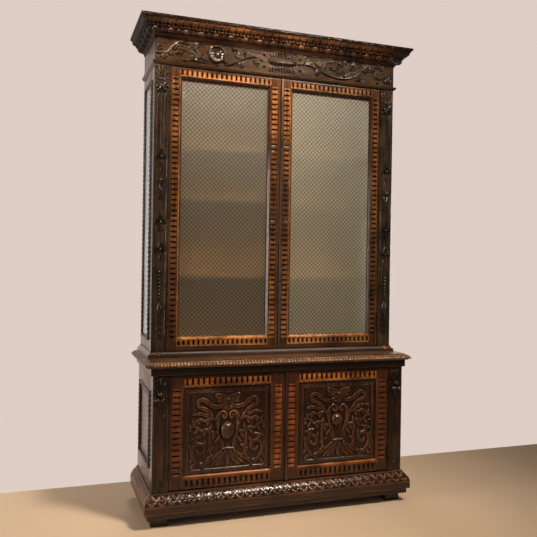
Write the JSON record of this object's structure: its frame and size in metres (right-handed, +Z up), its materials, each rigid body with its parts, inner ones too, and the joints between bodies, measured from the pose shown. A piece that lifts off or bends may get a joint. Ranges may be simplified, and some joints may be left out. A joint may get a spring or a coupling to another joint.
{
  "type": "glazed bookcase cabinet",
  "caption": "Tall carved oak bookcase cabinet in two stages, with patterned-glass doors and glazed sides above hinged panelled cupboard doors.",
  "frame": {"origin": "middle of the footprint, on the floor", "axes": "+Z up, the doors face -Y, +X to the right seen from the front"},
  "size_m": [1.476, 0.509, 2.45],
  "materials": {
    "carved_oak": "dark waxed carved oak",
    "inner_oak": "plain oiled oak",
    "patterned_glass": "cast glass with a small diamond relief",
    "hinge_brass": "dull brass"
  },
  "bodies": {
    "carcase": {"block_feet": "carved_oak", "plinth_front": "carved_oak", "plinth_sides": "carved_oak", "lower_bottom_board": "inner_oak", "lower_left_post": "carved_oak", "lower_right_post": "carved_oak", "lower_side_frames": "carved_oak", "lower_side_panels": "carved_oak", "lower_back_panel": "inner_oak", "lower_frieze_front": "carved_oak", "lower_frieze_sides": "carved_oak", "lower_shelf": "inner_oak", "waist_board": "carved_oak", "upper_base_front": "carved_oak", "upper_base_sides": "carved_oak", "upper_bottom_board": "inner_oak", "upper_left_post": "carved_oak", "upper_right_post": "carved_oak", "upper_side_frames": "carved_oak", "side_glass": "patterned_glass", "side_glazing_beads": "carved_oak", "upper_back_panel": "inner_oak", "upper_shelves": "inner_oak", "upper_top_board": "inner_oak", "frieze_front": "carved_oak", "frieze_sides": "carved_oak", "cornice_front": "carved_oak", "cornice_sides": "carved_oak", "dust_board": "inner_oak", "lower_shelf_bearers": "inner_oak", "upper_shelf_bearers": "inner_oak", "door_stops": "inner_oak", "hinge_case_leaves": "hinge_brass", "hinge_pins": "hinge_brass"},
    "upper_left_door": {"upper_left_door_outer_stile": "carved_oak", "upper_left_door_meeting_stile": "carved_oak", "upper_left_door_bottom_rail": "carved_oak", "upper_left_door_top_rail": "carved_oak", "upper_left_door_glass": "patterned_glass", "upper_left_door_glazing_beads": "carved_oak", "upper_left_door_hinge_leaves": "hinge_brass"},
    "upper_right_door": {"upper_right_door_outer_stile": "carved_oak", "upper_right_door_meeting_stile": "carved_oak", "upper_right_door_bottom_rail": "carved_oak", "upper_right_door_top_rail": "carved_oak", "upper_right_door_glass": "patterned_glass", "upper_right_door_glazing_beads": "carved_oak", "upper_right_door_hinge_leaves": "hinge_brass", "upper_right_door_astragal": "carved_oak"},
    "lower_left_door": {"lower_left_door_outer_stile": "carved_oak", "lower_left_door_meeting_stile": "carved_oak", "lower_left_door_rails": "carved_oak", "lower_left_door_panel": "carved_oak", "lower_left_door_hinge_leaves": "hinge_brass"},
    "lower_right_door": {"lower_right_door_outer_stile": "carved_oak", "lower_right_door_meeting_stile": "carved_oak", "lower_right_door_rails": "carved_oak", "lower_right_door_panel": "carved_oak", "lower_right_door_hinge_leaves": "hinge_brass", "lower_right_door_astragal": "carved_oak"}
  },
  "joints": [
    {"name": "upper_left_door_hinge", "type": "hinge", "parent": "carcase", "child": "upper_left_door", "pos_m": [-0.5825, -0.0938, 1.523], "axis": [0, 0, -1], "range_deg": [0, 110]},
    {"name": "upper_right_door_hinge", "type": "hinge", "parent": "carcase", "child": "upper_right_door", "pos_m": [0.5825, -0.0938, 1.523], "axis": [0, 0, 1], "range_deg": [0, 110]},
    {"name": "lower_left_door_hinge", "type": "hinge", "parent": "carcase", "child": "lower_left_door", "pos_m": [-0.5865, -0.2218, 0.4435], "axis": [0, 0, -1], "range_deg": [0, 110]},
    {"name": "lower_right_door_hinge", "type": "hinge", "parent": "carcase", "child": "lower_right_door", "pos_m": [0.5865, -0.2218, 0.4435], "axis": [0, 0, 1], "range_deg": [0, 110]}
  ]
}
